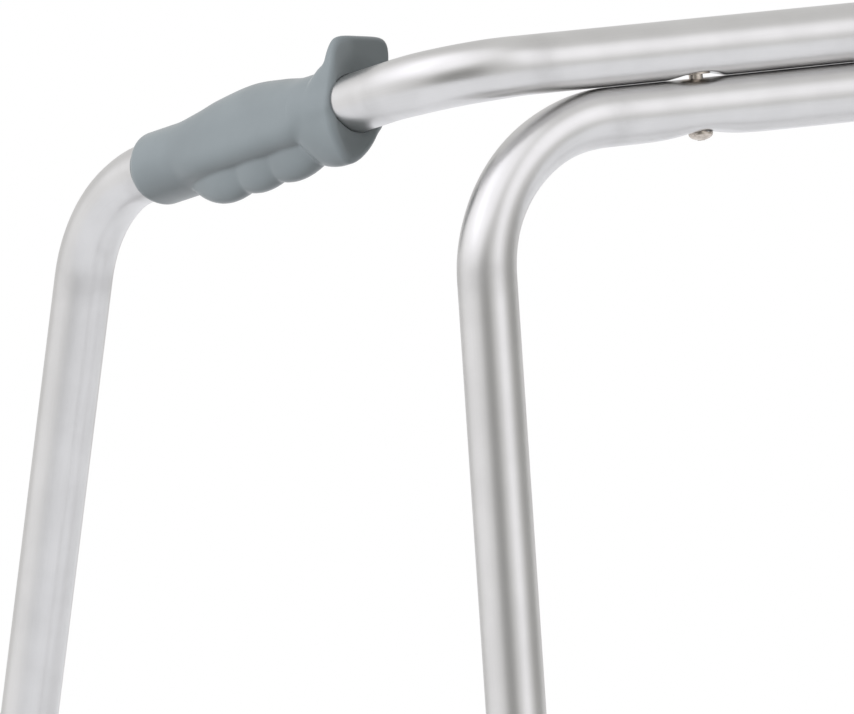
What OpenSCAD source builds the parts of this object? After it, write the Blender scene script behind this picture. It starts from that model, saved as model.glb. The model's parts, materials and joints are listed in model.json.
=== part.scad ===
// Fixed aluminium walking frame: a continuous bent top rail with hand grips, a front hoop
// under it, a lower brace, and four telescopic feet with spring buttons.
// The front of the frame faces -Y and the user stands at +Y, so the user's right is -X.

/* [Overall shape] */
// Height of the top rail's axis above the floor, with the feet at their rest hole
rail_h = 845; // [800:5:880]
// Distance between the two front corners of the top rail, measured on its axis
rail_w = 370; // [340:5:420]
// Distance from a front corner to the rear corner of the top rail
side_len = 245; // [235:1:280]
// Outward angle of each hand rail, seen from above
side_flare = 12.5; // [6:0.5:16]
// Downward slope of each hand rail towards the rear
side_slope = 10; // [2:0.5:12]

/* [Leg angles] */
// Sideways lean of the rear legs
rear_splay = 6; // [2:0.5:8]
// Backward lean of the rear legs
rear_rake = 15; // [8:0.5:16]
// Sideways lean of the front legs
front_splay = 4.5; // [2:0.5:6]
// Forward lean of the front legs
front_rake = 6; // [2:0.5:8]

/* [Tubes] */
// Outside diameter of the top rail and front hoop
tube_d = 25.4; // [25:0.1:26]
// Wall of the top rail, front hoop and lower brace
tube_wall = 1.5; // [1.2:0.1:1.8]
// Bend radius at the front corners of the top rail
corner_r = 51; // [45:1:60]
// Bend radius at the rear corners of the top rail
rear_bend_r = 63; // [55:1:70]
// Bend radius of the front hoop
hoop_bend_r = 68; // [60:1:75]
// How far the hoop's corners sit inboard of the rail's corners
hoop_inset = 12.5; // [8:0.5:16]
// Drop from the top rail's axis to the hoop's axis
hoop_drop = 26; // [25.6:0.1:28]
// Distance of each rail screw from the middle of the frame
screw_x = 65; // [50:1:80]
// Depth of the dimples pressed round the rail screws
dimple_depth = 3.4; // [2:0.1:4]

/* [Lower brace] */
// Height of the brace's axis above the floor
brace_h = 340; // [330:5:380]
// Outside diameter of the brace
brace_d = 19; // [18:0.5:20]
// Bend radius of the brace's two corners
brace_bend_r = 42; // [38:1:45]
// Length of brace behind each rear bolt
brace_tail = 32; // [25:1:45]

/* [Feet] */
// Outside diameter of the leg extensions
ext_d = 22.2; // [22.2:0.02:22.3]
// Wall of the leg extensions
ext_wall = 1.2; // [1:0.1:1.4]
// Distance along the leg from the floor to the end of the outer tube
outer_end = 120; // [115:1:130]
// Distance between the height holes
hole_pitch = 20; // [20:1:22]
// Number of height holes in each leg
hole_count = 7; // [5:1:7]
// Diameter of the spring buttons
button_d = 8; // [7:0.1:8.5]
// Largest diameter of the rubber ferrules
ferrule_d = 38; // [36:1:42]
// Height of the ferrules along the leg
ferrule_h = 45; // [42:1:50]

/* [Hand grips] */
// Length of each hand grip
grip_len = 139; // [115:1:140]
// Distance from the front bend to the grip's front face
grip_start = 19; // [10:1:20]
// Outside diameter of the grip's plain sleeve
grip_sleeve_d = 31.8; // [31:0.2:34]
// Width across each grip's finger ribs and hand stop
grip_w = 32; // [31:0.5:36]
// Height of the hand stop at the front of each grip
grip_stop_h = 57; // [50:1:60]
// Turn of each grip about the hand rail, its top towards the user
grip_turn = 20; // [0:1:25]

/* [Hidden] */
$fn = 72;
eps = 0.01;
over = 1; // how far a cutting tool runs past the face it cuts
ring_w = 1; // width and height of the ring where a bend starts
ring_t = 0.02;
joint_gap = 0.05;

tube_r = tube_d / 2;
bore_r = tube_r - tube_wall;
brace_r = brace_d / 2;
ext_r = ext_d / 2;
ext_bore_r = ext_r - ext_wall;
ferrule_r = ferrule_d / 2;

// Directions of the right-hand side, each pointing away from the front corner
side_dir = [
    -sin(side_flare) * cos(side_slope), cos(side_flare) * cos(side_slope), -sin(side_slope)
];
rear_dir = unit([-tan(rear_splay), tan(rear_rake), -1]);
front_dir = unit([-tan(front_splay), -tan(front_rake), -1]);

// The frame is centred front to back on the rubber feet
rear_corner_h = rail_h - side_len * sin(side_slope);
rear_reach = side_len * side_dir.y + tan(rear_rake) * rear_corner_h + ferrule_r / cos(rear_rake);
front_reach = tan(front_rake) * (rail_h - hoop_drop) + ferrule_r / cos(front_rake);
corner_y = (front_reach - rear_reach) / 2;

front_corner = [-rail_w / 2, corner_y, rail_h];
rear_corner = front_corner + side_len * side_dir;
hoop_corner = front_corner + [hoop_inset, 0, -hoop_drop];
rear_foot = drop_to(rear_corner, rear_dir, 0);
front_foot = drop_to(hoop_corner, front_dir, 0);
rear_tube_end = rear_foot - outer_end * rear_dir;
front_tube_end = front_foot - outer_end * front_dir;

rail_path = [
    rear_tube_end, rear_corner, front_corner, flip(front_corner), flip(rear_corner),
    flip(rear_tube_end)
];
rail_bends = [rear_bend_r, corner_r, corner_r, rear_bend_r];
hoop_path = [front_tube_end, hoop_corner, flip(hoop_corner), flip(front_tube_end)];
hoop_bends = [hoop_bend_r, hoop_bend_r];

// Rail screws, rivet nuts and the dimples they sit in
screw_r = 3;
screw_hole_r = 3.25;
screw_head_r = 5.25;
screw_head_h = 3.5;
screw_head_edge = 0.8;
screw_past_rail = 2; // how far the screw's end passes the rail's axis
screw_drive_r = 1.6;
screw_drive_depth = 2.1;
rivet_r = 4.5;
rivet_bore_r = 3.05;
rivet_flange_r = 6.2;
rivet_bulge_r = 6;
rivet_len = 14;
dimple_r = 26.5;
hoop_y = corner_y;
hoop_h = rail_h - hoop_drop;
rail_dimple_z = rail_h - tube_r + dimple_depth;
hoop_dimple_z = hoop_h - tube_r + dimple_depth;
rivet_seat = sag(dimple_r, rivet_flange_r);
screw_seat = sag(dimple_r, screw_head_r);

// Lower brace: its sides run along Y inside the rear legs, its front along X behind the front legs
saddle_gap = 2;
saddle_r = 11;
saddle_leg_start = 7;
saddle_brace_end = 4;
brace_offset = tube_r + saddle_gap + brace_r;
rear_at_brace = drop_to(rear_corner, rear_dir, brace_h);
front_at_brace = drop_to(hoop_corner, front_dir, brace_h);
brace_x = rear_at_brace.x + brace_offset / cos(rear_splay);
brace_y = front_at_brace.y + brace_offset / cos(front_rake);
rear_bolt_on_leg = rear_at_brace - rear_dir * (brace_offset * sin(rear_splay) / -rear_dir.z);
front_bolt_on_leg = front_at_brace - front_dir * (brace_offset * sin(front_rake) / -front_dir.z);
rear_bolt_on_brace = [brace_x, rear_bolt_on_leg.y, brace_h];
front_bolt_on_brace = [front_bolt_on_leg.x, brace_y, brace_h];
brace_end = [brace_x, rear_bolt_on_brace.y + brace_tail, brace_h];
brace_corner = [brace_x, brace_y, brace_h];
brace_path = [brace_end, brace_corner, flip(brace_corner), flip(brace_end)];
brace_bends = [brace_bend_r, brace_bend_r];
bolt_r = 3;
bolt_hole_r = 3.2;
bolt_head_r = 5.5;
bolt_head_h = 3.2;
bolt_drive_r = 2.3;
bolt_drive_depth = 1.6;
nut_r = 5.8;
nut_h = 5;
nut_dome_r = 4.9;
nut_bore_r = 3.05;
cap_h = 2.5;
cap_spigot = 12;
cap_wall = 2;

// Telescopic feet, measured along the leg from the floor
holes_below_rest = 4;
lowest_hole = 22;
rest_hole = outer_end + lowest_hole + holes_below_rest * hole_pitch;
ext_top = rest_hole + 42;
ext_bottom = 14;
ext_hole_r = button_d / 2 + 0.1;
leg_hole_r = button_d / 2 + 0.3;
washer_h = 1.5;
washer_r = ext_r - 0.4;
washer_hole_r = 4;
bush_r = 14.4;
bush_up = 18;
bush_lip = 3;
bush_bore_r = ext_r + 0.15;
ferrule_top_r = 13.4;
ferrule_waist_r = 15.4;
ferrule_base_h = 15;
ferrule_edge_r = 2;
ferrule_band_t = 0.9; // how far the top band stands out
ferrule_band_h = 6;
tread_rings = [8, 13]; // middle radius of each groove in the sole
tread_w = 2;
tread_depth = 1.5;

// Spring button and its clip, measured out from the leg's axis
button_tip = tube_r + 2.2;
button_edge = 1.5; // bevel round the button's end
button_collar_r = 5.4;
button_collar_out = 8;
button_collar_h = 1.4;
leaf_t = 0.8;
leaf_w = 7;
leaf_up = 13;
leaf_down = 7;
clip_back_x = -9;
clip_front_x = button_collar_out - button_collar_h;
clip_top = 30;
clip_bottom = -10;
clip_gap = 2;

// Hand grips, measured from the front bend along the hand rail
grip_sleeve_r = grip_sleeve_d / 2;
grip_palm_r = 18;
grip_palm_rise = 3.5;
grip_palm_from = 4;
grip_palm_to = 112;
grip_palm_end_r = 8;
rib_count = 3;
rib_pitch = 25;
rib_first = 41;
rib_r = 18;
rib_rim_r = 5;
rib_w = 16;
rib_drop = 7.5;
guard_len = 110;
guard_r = 16;
guard_drop = 5;
stop_t = 8;
stop_w = 31;
stop_rise = 1.5; // how far the plate's middle sits above the rail's axis
stop_top_r = 4.5;
grip_lip = 1.5;

function unit(v) = v / norm(v);
function flip(p) = [-p.x, p.y, p.z];
function sag(r, half) = r - sqrt(r * r - half * half);
function drop_to(p, d, z) = p + d * ((p.z - z) / -d.z);
function turn(a, b) = acos(a * b);
function tangent_len(a, b, r) = r * tan(turn(a, b) / 2);
function reference(w) = abs(unit(w).x) > 0.9 ? [0, 1, 0] : [1, 0, 0];

// Puts its children at p with their Z along w and their X as near to u as it can be
module place(p, w, u) {
    z = unit(w);
    y = unit(cross(z, u));
    x = cross(y, z);
    multmatrix([
        [x.x, y.x, z.x, p.x],
        [x.y, y.y, z.y, p.y],
        [x.z, y.z, z.z, p.z],
        [0, 0, 0, 1]
    ]) children();
}

// Solid rod of radius r from p to q
module rod(p, q, r) place(p, q - p, reference(q - p)) cylinder(r = r, h = norm(q - p));

// Solid bend of radius r about the corner p, from direction a into direction b, short at each end
module elbow(p, a, b, bend_r, r) {
    inward = unit(b - a * (a * b));
    centre = p - a * tangent_len(a, b, bend_r) + inward * bend_r;
    short = asin(joint_gap / bend_r);
    place(centre, cross(a, b), -inward) rotate([0, 0, short])
        rotate_extrude(angle = turn(a, b) - 2 * short) translate([bend_r, 0]) circle(r = r);
}

// Fine ring that a bending die leaves where a bend starts; it bridges rod and bend
module die_ring(p, d, r) rod(p - d * ring_w / 2, p + d * ring_w / 2, r + ring_t);

// Solid of radius r along a path of corners, each with its bend radius; extra lengthens both ends
module bent_rod(path, bends, r, extra = 0) {
    last = len(path) - 1;
    dirs = [for (i = [0:last - 1]) unit(path[i + 1] - path[i])];
    cut = [
        for (i = [0:last])
            (i == 0 || i == last) ? -extra : tangent_len(dirs[i - 1], dirs[i], bends[i - 1])
    ];
    for (i = [0:last - 1]) {
        start = path[i] + dirs[i] * (cut[i] + (i == 0 ? 0 : joint_gap));
        end = path[i + 1] - dirs[i] * (cut[i + 1] + (i == last - 1 ? 0 : joint_gap));
        rod(start, end, r);
    }
    for (i = [1:last - 1]) {
        elbow(path[i], dirs[i - 1], dirs[i], bends[i - 1], r);
        die_ring(path[i] - dirs[i - 1] * cut[i], dirs[i - 1], r);
        die_ring(path[i] + dirs[i] * cut[i], dirs[i], r);
    }
}

// Draws its children on the right side, and mirrored on the left
module both_sides() {
    children();
    mirror([1, 0, 0]) children();
}

// Draws its children on one side
module on_side(side) {
    if (side == "right") children();
    else mirror([1, 0, 0]) children();
}

// Frame of a leg: origin where its axis meets the floor, +Z up the leg, +X out sideways
module leg_frame(row, side) {
    foot = row == "rear" ? rear_foot : front_foot;
    dir = row == "rear" ? rear_dir : front_dir;
    on_side(side) place(foot, -dir, [-1, 0, 0]) children();
}

// The row of height holes through one wall of a leg
module height_holes() {
    for (i = [0:hole_count - 1])
        translate([0, 0, outer_end + lowest_hole + i * hole_pitch])
            rotate([0, 90, 0]) cylinder(r = leg_hole_r, h = tube_r + over);
}

// Dimple tools: the ball that presses it, and the metal left behind it
module dimple_ball(z, grow) {
    both_sides() translate([-screw_x, hoop_y, z - dimple_r]) sphere(r = dimple_r + grow, $fn = 160);
}

module dimple_metal(z, axis_z) {
    intersection() {
        dimple_ball(z, tube_wall);
        rod([-rail_w / 2 + corner_r, hoop_y, axis_z], [rail_w / 2 - corner_r, hoop_y, axis_z],
            bore_r + eps);
    }
}

module brace_bolt_hole(on_leg, on_brace) {
    dir = unit(on_brace - on_leg);
    both_sides() rod(on_leg - dir * (tube_r + over), on_brace + dir * (brace_r + over), bolt_hole_r);
}

module top_rail() {
    color("silver") difference() {
        union() {
            difference() {
                bent_rod(rail_path, rail_bends, tube_r);
                bent_rod(rail_path, rail_bends, bore_r, over);
            }
            dimple_metal(rail_dimple_z, rail_h);
        }
        dimple_ball(rail_dimple_z, 0);
        both_sides() translate([-screw_x, hoop_y, rail_dimple_z - over])
            cylinder(r = rivet_r, h = tube_wall + 2 * over);
        brace_bolt_hole(rear_bolt_on_leg, rear_bolt_on_brace);
        leg_frame("rear", "right") height_holes();
        leg_frame("rear", "left") height_holes();
    }
}

module front_hoop() {
    color("silver") difference() {
        union() {
            difference() {
                bent_rod(hoop_path, hoop_bends, tube_r);
                bent_rod(hoop_path, hoop_bends, bore_r, over);
            }
            dimple_metal(hoop_dimple_z, hoop_h);
        }
        dimple_ball(hoop_dimple_z, 0);
        both_sides() translate([-screw_x, hoop_y, hoop_h - tube_r])
            cylinder(r = screw_hole_r, h = tube_d + over);
        brace_bolt_hole(front_bolt_on_leg, front_bolt_on_brace);
        leg_frame("front", "right") height_holes();
        leg_frame("front", "left") height_holes();
    }
}

module rail_screws() {
    head_z = hoop_dimple_z - screw_seat;
    color("gainsboro") both_sides() translate([-screw_x, hoop_y, head_z]) {
        cylinder(r = screw_r, h = rail_h - head_z + screw_past_rail);
        rotate([180, 0, 0]) rotate_extrude() polygon([
            [0, 0], [screw_head_r, 0], [screw_head_r, screw_head_edge],
            for (a = [15:15:75]) [
                screw_head_r * cos(a), screw_head_edge + (screw_head_h - screw_head_edge) * sin(a)
            ],
            [screw_drive_r, screw_head_h], [screw_drive_r, screw_head_h - screw_drive_depth],
            [0, screw_head_h - screw_drive_depth]
        ]);
    }
}

module rail_rivet_nuts() {
    flange_top = rail_dimple_z - rivet_seat;
    color("gray") both_sides() translate([-screw_x, hoop_y, flange_top]) difference() {
        union() {
            translate([0, 0, -1]) cylinder(r = rivet_flange_r, h = 1);
            cylinder(r = rivet_r - 0.05, h = rivet_len);
            translate([0, 0, rivet_seat + tube_wall]) cylinder(r = rivet_bulge_r, h = 3);
        }
        translate([0, 0, -1 - over]) cylinder(r = rivet_bore_r, h = rivet_len + 1 + 2 * over);
    }
}

// Ring of the grip, centred at z along it, with a round rim
module grip_ring(z, r, w, rim) {
    half = w / 2;
    translate([0, 0, z]) rotate_extrude() intersection() {
        translate([0, -half]) square([r, w]);
        union() {
            translate([0, -half]) square([r - rim, w]);
            translate([r - rim, 0]) circle(r = rim);
            if (half > rim) translate([0, -half + rim]) square([r, w - 2 * rim]);
        }
    }
}

// Part of the grip that lies within its width
module grip_width() {
    intersection() {
        union() children();
        translate([-grip_stop_h, -grip_w / 2, -over])
            cube([2 * grip_stop_h, grip_w, grip_len + 2 * over]);
    }
}

// Plate with a round foot and a nearly square top that stops the hand sliding forwards
module hand_stop() {
    foot_r = stop_w / 2;
    foot = stop_rise - grip_stop_h / 2 + foot_r;
    top = stop_rise + grip_stop_h / 2;
    linear_extrude(stop_t) {
        translate([foot, 0]) circle(r = foot_r);
        translate([foot, -stop_w / 2]) square([top - stop_top_r - foot, stop_w]);
        translate([foot, -stop_w / 2 + stop_top_r])
            square([top - foot, stop_w - 2 * stop_top_r]);
        for (y = [-1, 1])
            translate([top - stop_top_r, y * (stop_w / 2 - stop_top_r)]) circle(r = stop_top_r);
    }
}

module grip(side) {
    front = front_corner + side_dir * (tangent_len([-1, 0, 0], side_dir, corner_r) + grip_start);
    color("darkseagreen") on_side(side) difference() {
        place(front, side_dir, [0, 0, 1]) rotate([0, 0, grip_turn]) {
            cylinder(r = grip_sleeve_r, h = grip_len - grip_lip);
            translate([0, 0, grip_len - grip_lip])
                cylinder(r1 = grip_sleeve_r, r2 = grip_sleeve_r - grip_lip, h = grip_lip);
            grip_width() {
                translate([grip_palm_rise, 0, 0])
                    grip_ring((grip_palm_from + grip_palm_to) / 2, grip_palm_r,
                        grip_palm_to - grip_palm_from, grip_palm_end_r);
                translate([-guard_drop, 0, 0]) cylinder(r = guard_r, h = guard_len);
                translate([-rib_drop, 0, 0]) for (i = [0:rib_count - 1])
                    grip_ring(rib_first + i * rib_pitch, rib_r, rib_w, rib_rim_r);
            }
            hand_stop();
        }
        bent_rod(rail_path, rail_bends, tube_r);
    }
}

module lower_brace() {
    color("silver") difference() {
        bent_rod(brace_path, brace_bends, brace_r);
        bent_rod(brace_path, brace_bends, brace_r - tube_wall, over);
        brace_bolt_hole(rear_bolt_on_leg, rear_bolt_on_brace);
        brace_bolt_hole(front_bolt_on_leg, front_bolt_on_brace);
    }
}

// Spacer shaped to a leg on one side and to the brace on the other
module saddle(on_leg, on_brace, leg_dir, brace_dir) {
    dir = unit(on_brace - on_leg);
    difference() {
        rod(on_leg + dir * saddle_leg_start, on_brace - dir * saddle_brace_end, saddle_r);
        rod(on_leg - leg_dir * 2 * saddle_r, on_leg + leg_dir * 2 * saddle_r, tube_r);
        rod(on_brace - brace_dir * 2 * saddle_r, on_brace + brace_dir * 2 * saddle_r, brace_r);
        rod(on_leg, on_brace, bolt_hole_r);
    }
}

module brace_saddles() {
    color("dimgray") both_sides() {
        saddle(rear_bolt_on_leg, rear_bolt_on_brace, rear_dir, [0, 1, 0]);
        saddle(front_bolt_on_leg, front_bolt_on_brace, front_dir, [1, 0, 0]);
    }
}

// Bolt with its domed head outside the leg and its end in the nut beyond the brace
module brace_bolt(on_leg, on_brace) {
    dir = unit(on_brace - on_leg);
    seat = on_leg - dir * tube_r;
    rod(seat, on_brace + dir * (brace_r + nut_h), bolt_r);
    place(seat, -dir, [0, 0, 1]) difference() {
        intersection() {
            cylinder(r = bolt_head_r, h = bolt_head_h);
            translate([0, 0, -bolt_head_h]) sphere(r = 2 * bolt_head_h);
        }
        translate([0, 0, bolt_head_h - bolt_drive_depth])
            cylinder(r = bolt_drive_r, h = bolt_drive_depth + over, $fn = 6);
    }
}

module brace_bolts() {
    color("gainsboro") both_sides() {
        brace_bolt(rear_bolt_on_leg, rear_bolt_on_brace);
        brace_bolt(front_bolt_on_leg, front_bolt_on_brace);
    }
}

module dome_nut(on_leg, on_brace) {
    dir = unit(on_brace - on_leg);
    place(on_brace + dir * brace_r, dir, [0, 0, 1]) difference() {
        union() {
            cylinder(r = nut_r, h = nut_h, $fn = 6);
            intersection() {
                translate([0, 0, nut_h]) sphere(r = nut_dome_r);
                cylinder(r = nut_dome_r + over, h = nut_h + nut_dome_r + over);
            }
        }
        translate([0, 0, -over]) cylinder(r = nut_bore_r, h = nut_h + 2 * over);
    }
}

module brace_nuts() {
    color("gainsboro") both_sides() {
        dome_nut(rear_bolt_on_leg, rear_bolt_on_brace);
        dome_nut(front_bolt_on_leg, front_bolt_on_brace);
    }
}

module brace_end_caps() {
    spigot_r = brace_r - tube_wall;
    color("dimgray") both_sides() place(brace_end, [0, 1, 0], [1, 0, 0]) difference() {
        union() {
            translate([0, 0, -cap_spigot]) cylinder(r = spigot_r, h = cap_spigot + eps);
            cylinder(r1 = brace_r, r2 = brace_r - 1, h = cap_h);
        }
        translate([0, 0, -cap_spigot - over])
            cylinder(r = spigot_r - cap_wall, h = cap_spigot);
    }
}

module leg_extension(row, side) {
    color("silver") leg_frame(row, side) difference() {
        translate([0, 0, ext_bottom]) cylinder(r = ext_r, h = ext_top - ext_bottom);
        translate([0, 0, ext_bottom - over])
            cylinder(r = ext_bore_r, h = ext_top - ext_bottom + 2 * over);
        translate([0, 0, rest_hole]) rotate([0, 90, 0]) cylinder(r = ext_hole_r, h = ext_r + over);
    }
}

module leg_bush(row, side) {
    color("gray") leg_frame(row, side) translate([0, 0, outer_end]) difference() {
        union() {
            translate([0, 0, -bush_lip + 1]) cylinder(r = bush_r, h = bush_up + bush_lip - 1);
            translate([0, 0, -bush_lip]) cylinder(r1 = bush_r - 1, r2 = bush_r, h = 1);
        }
        cylinder(r = tube_r, h = bush_up + over);
        translate([0, 0, -bush_lip - over]) cylinder(r = bush_bore_r, h = bush_lip + 2 * over);
    }
}

module ferrule(row, side) {
    foot = row == "rear" ? rear_foot : front_foot;
    color("dimgray") difference() {
        leg_frame(row, side) difference() {
            rotate_extrude() polygon([
                [0, -10], [ferrule_r, -10], [ferrule_r, ferrule_base_h - ferrule_edge_r],
                [ferrule_r - ferrule_edge_r * 0.3, ferrule_base_h - ferrule_edge_r * 0.3],
                [ferrule_r - ferrule_edge_r, ferrule_base_h],
                [ferrule_waist_r + 0.6, ferrule_base_h + 1.5],
                [ferrule_waist_r, ferrule_base_h + 4],
                [ferrule_top_r + ferrule_band_t / 3, ferrule_h - ferrule_band_h],
                [ferrule_top_r + ferrule_band_t, ferrule_h - ferrule_band_h + 1],
                [ferrule_top_r + ferrule_band_t, ferrule_h - 1],
                [ferrule_top_r, ferrule_h], [0, ferrule_h]
            ]);
            translate([0, 0, ext_bottom - washer_h]) cylinder(r = ext_r, h = ferrule_h);
        }
        on_side(side) translate([foot.x, foot.y, 0]) {
            translate([0, 0, -ferrule_h]) cylinder(r = 2 * ferrule_r, h = ferrule_h);
            for (r = tread_rings) translate([0, 0, -over]) difference() {
                cylinder(r = r + tread_w / 2, h = over + tread_depth);
                translate([0, 0, -over]) cylinder(r = r - tread_w / 2, h = 3 * over + tread_depth);
            }
        }
    }
}

module ferrule_washer(row, side) {
    color("lightgray") leg_frame(row, side) translate([0, 0, ext_bottom - washer_h]) difference() {
        cylinder(r = washer_r, h = washer_h);
        translate([0, 0, -over]) cylinder(r = washer_hole_r, h = washer_h + 2 * over);
    }
}

// Button with its collar and the leaf of the clip that carries it
module snap_button(row, side) {
    color("gainsboro") leg_frame(row, side) translate([0, 0, rest_hole]) {
        rotate([0, 90, 0]) {
            translate([0, 0, clip_front_x])
                cylinder(r = button_d / 2, h = button_tip - button_edge - clip_front_x);
            translate([0, 0, button_tip - button_edge])
                cylinder(r1 = button_d / 2, r2 = button_d / 2 - button_edge, h = button_edge);
            translate([0, 0, clip_front_x]) cylinder(r = button_collar_r, h = button_collar_h);
        }
        translate([clip_front_x - leaf_t, -leaf_w / 2, -leaf_down])
            cube([leaf_t, leaf_w, leaf_up + leaf_down]);
    }
}

// The part of the clip that stays put: its back leaf and its round top
module clip_spring(row, side) {
    mid_x = (clip_back_x + clip_front_x) / 2;
    ring_r = (clip_front_x - clip_back_x) / 2;
    color("lightgray") leg_frame(row, side) translate([0, 0, rest_hole]) {
        translate([clip_back_x, -leaf_w / 2, clip_bottom])
            cube([leaf_t, leaf_w, clip_top - clip_bottom]);
        translate([clip_front_x - leaf_t, -leaf_w / 2, leaf_up + clip_gap])
            cube([leaf_t, leaf_w, clip_top - leaf_up - clip_gap]);
        translate([mid_x, leaf_w / 2, clip_top]) rotate([90, 0, 0]) linear_extrude(leaf_w)
            difference() {
                circle(r = ring_r);
                circle(r = ring_r - leaf_t);
                translate([-ring_r - over, -ring_r - over])
                    square([2 * (ring_r + over), ring_r + over]);
            }
    }
}

top_rail();
front_hoop();
grip("right");  // grip_right
grip("left");  // grip_left
rail_screws();
rail_rivet_nuts();
lower_brace();
brace_saddles();
brace_bolts();
brace_nuts();
brace_end_caps();
for (row = ["front", "rear"], side = ["right", "left"]) {
    leg = str(row, "_", side);
    leg_extension(row, side);
    leg_bush(row, side);
    ferrule(row, side);
    ferrule_washer(row, side);
    snap_button(row, side);
    clip_spring(row, side);
}
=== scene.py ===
"""Looks of a fixed aluminium walking frame: bent tubes, moulded hand grips, fasteners and rubber feet."""

import json
import logging
import math
from dataclasses import dataclass, field
from enum import Enum
from typing import Callable

import bmesh
import bpy
import numpy as np
from mathutils import Matrix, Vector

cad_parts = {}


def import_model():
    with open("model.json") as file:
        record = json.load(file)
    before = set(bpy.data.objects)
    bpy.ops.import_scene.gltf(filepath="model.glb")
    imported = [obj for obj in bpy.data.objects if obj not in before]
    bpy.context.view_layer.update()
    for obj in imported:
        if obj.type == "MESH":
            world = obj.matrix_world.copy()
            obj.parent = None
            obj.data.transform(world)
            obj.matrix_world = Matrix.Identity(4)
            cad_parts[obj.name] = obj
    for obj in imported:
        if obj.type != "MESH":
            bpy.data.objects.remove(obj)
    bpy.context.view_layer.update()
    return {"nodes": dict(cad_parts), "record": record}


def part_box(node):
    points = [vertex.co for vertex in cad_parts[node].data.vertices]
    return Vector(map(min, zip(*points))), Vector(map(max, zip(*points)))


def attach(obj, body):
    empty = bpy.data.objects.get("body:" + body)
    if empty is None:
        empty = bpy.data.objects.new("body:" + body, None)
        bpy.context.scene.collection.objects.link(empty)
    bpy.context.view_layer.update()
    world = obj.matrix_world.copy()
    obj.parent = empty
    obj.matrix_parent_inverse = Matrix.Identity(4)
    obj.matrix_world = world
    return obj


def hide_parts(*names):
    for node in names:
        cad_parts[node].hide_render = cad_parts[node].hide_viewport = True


log = logging.getLogger("walking_frame")
MM = 0.001


class Side(Enum):
    """The user's side of the frame; the value is the sign of X there."""

    RIGHT = -1
    LEFT = 1


class Row(Enum):
    """Front or rear pair of legs."""

    FRONT = "front"
    REAR = "rear"


# ---------------------------------------------------------------- shader graph


class Graph:
    """Node tree of one material or world."""

    def __init__(self, tree: bpy.types.NodeTree) -> None:
        """Empties the tree.

        Args:
            tree: the node tree to build in.
        """
        self.tree = tree
        tree.nodes.clear()

    def node(self, kind: str, settings: dict | None = None, sockets: dict | None = None) -> bpy.types.Node:
        """Adds one node.

        Args:
            kind: the node's type, such as ShaderNodeTexNoise.
            settings: properties, set first; "stops" gives a ramp's (position, colour) pairs.
            sockets: values or links by socket name or index.

        Returns:
            The new node.
        """
        made = self.tree.nodes.new(kind)
        for key, value in (settings or {}).items():
            if key == "stops":
                ramp = made.color_ramp
                while len(ramp.elements) < len(value):
                    ramp.elements.new(0.5)
                for element, (place, colour) in zip(ramp.elements, value):
                    element.position = place
                    element.color = colour
            else:
                setattr(made, key, value)
        for key, value in (sockets or {}).items():
            target = made.inputs[key]
            if isinstance(value, Wire):
                self.tree.links.new(value.socket, target)
            else:
                target.default_value = value
        return made

    def wire(self, kind: str, output: str | int = 0, settings: dict | None = None,
             sockets: dict | None = None) -> "Wire":
        """Adds one node and returns one of its outputs as a Wire."""
        return Wire(self, self.node(kind, settings, sockets).outputs[output])


@dataclass(frozen=True)
class Wire:
    """A socket that takes part in Python expressions; each operator adds its Math node."""

    graph: Graph
    socket: bpy.types.NodeSocket

    def _math(self, operation: str, first: "Wire | float", second: "Wire | float",
              clamp: bool = False) -> "Wire":
        """Adds a Math node on two values."""
        settings = {"operation": operation, "use_clamp": clamp}
        return self.graph.wire("ShaderNodeMath", 0, settings, {0: first, 1: second})

    def __add__(self, other: "Wire | float") -> "Wire":
        """Sum."""
        return self._math("ADD", self, other)

    def __mul__(self, other: "Wire | float") -> "Wire":
        """Product."""
        return self._math("MULTIPLY", self, other)

    def __sub__(self, other: "Wire | float") -> "Wire":
        """Difference."""
        return self._math("SUBTRACT", self, other)

    def clamped(self) -> "Wire":
        """The value held between 0 and 1."""
        return self._math("ADD", self, 0.0, clamp=True)

    def above(self, edge: float, width: float) -> "Wire":
        """A smooth step from 0 at edge to 1 at edge + width."""
        return self.graph.wire(
            "ShaderNodeMapRange", 0, {"interpolation_type": "SMOOTHSTEP"},
            {"Value": self, "From Min": edge, "From Max": edge + width})


def mix_colour(graph: Graph, factor: Wire, first: "Wire | tuple", second: "Wire | tuple") -> Wire:
    """Mixes two colours by a factor."""
    return graph.wire("ShaderNodeMix", 2, {"data_type": "RGBA"}, {0: factor, 6: first, 7: second})


# ---------------------------------------------------------------- finishes


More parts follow.
